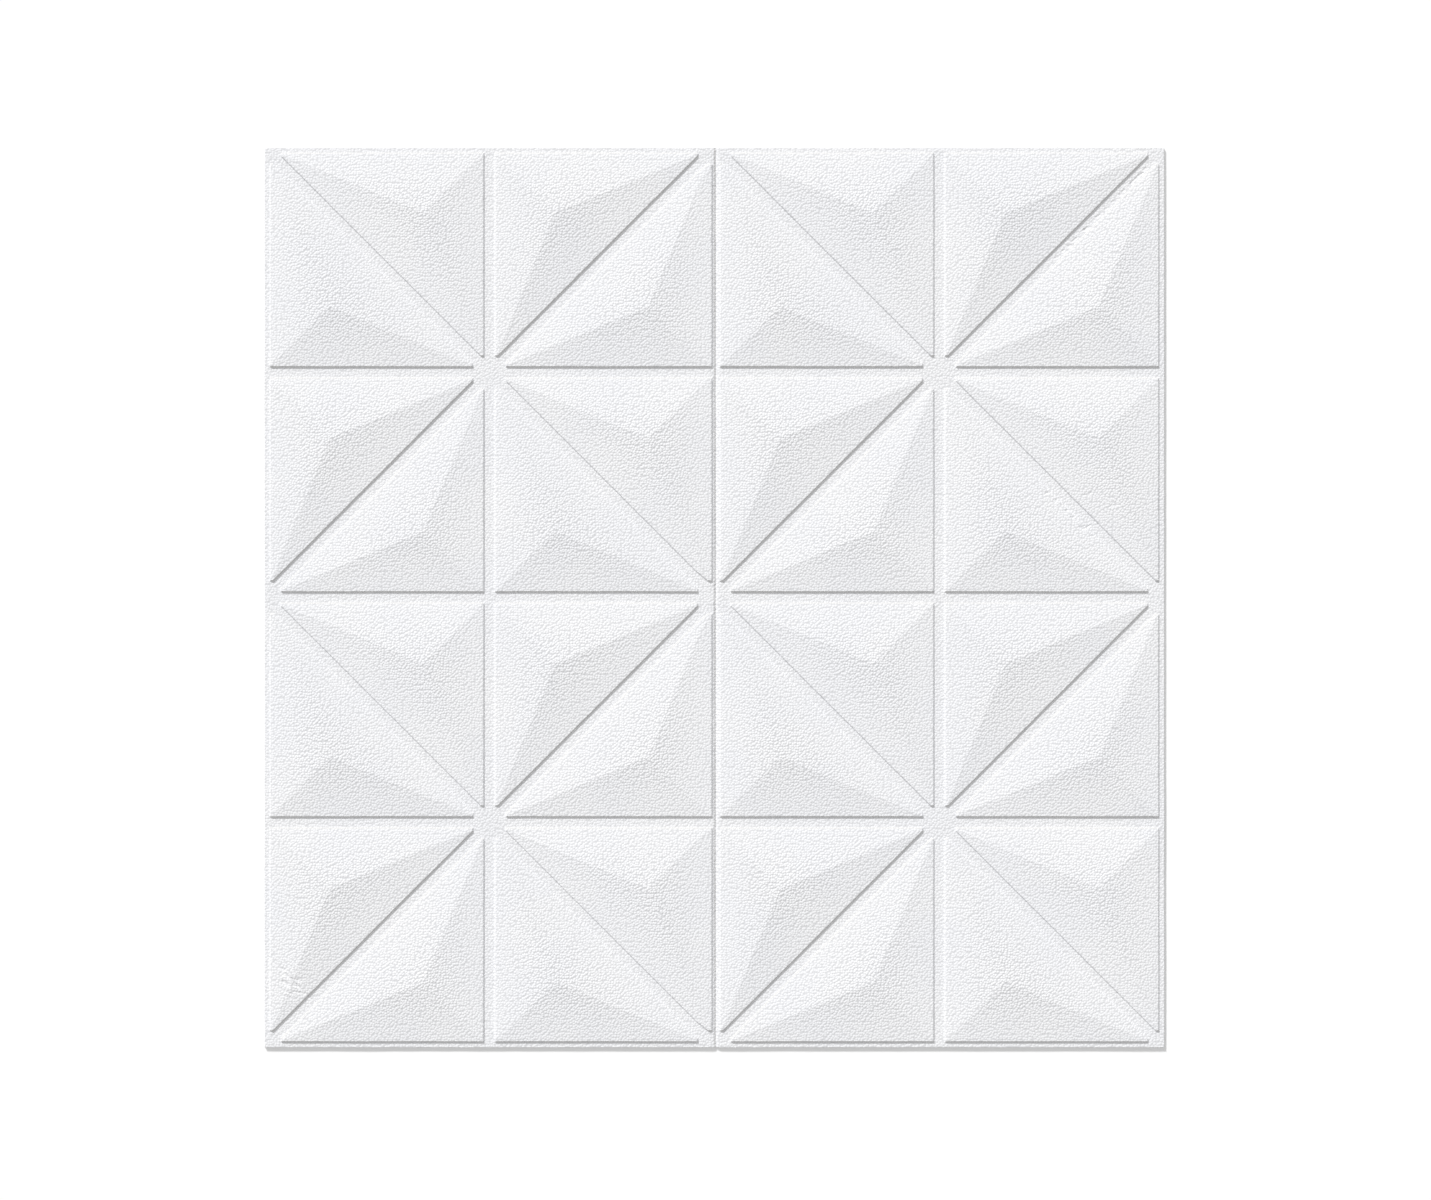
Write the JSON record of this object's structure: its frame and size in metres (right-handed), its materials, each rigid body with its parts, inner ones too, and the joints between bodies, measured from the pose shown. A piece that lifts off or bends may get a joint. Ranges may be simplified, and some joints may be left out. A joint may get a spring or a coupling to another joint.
{
  "type": "self-adhesive wall panel",
  "caption": "Square self-adhesive foam wall panel with a pressed star relief of low triangular pyramids between grooves; it sticks flat to a wall, edge to edge with its neighbours.",
  "frame": {"origin": "middle of the flat adhesive back, which lies on the floor", "axes": "+Z out of the face, +Y up the panel as in the picture, along the fold line, +X to the right"},
  "size_m": [0.7, 0.7, 0.008],
  "materials": {
    "white_foam": "matt white polyethylene foam with a fine pebbled grain"
  },
  "bodies": {
    "root": {"foam_panel": "white_foam"}
  },
  "joints": []
}
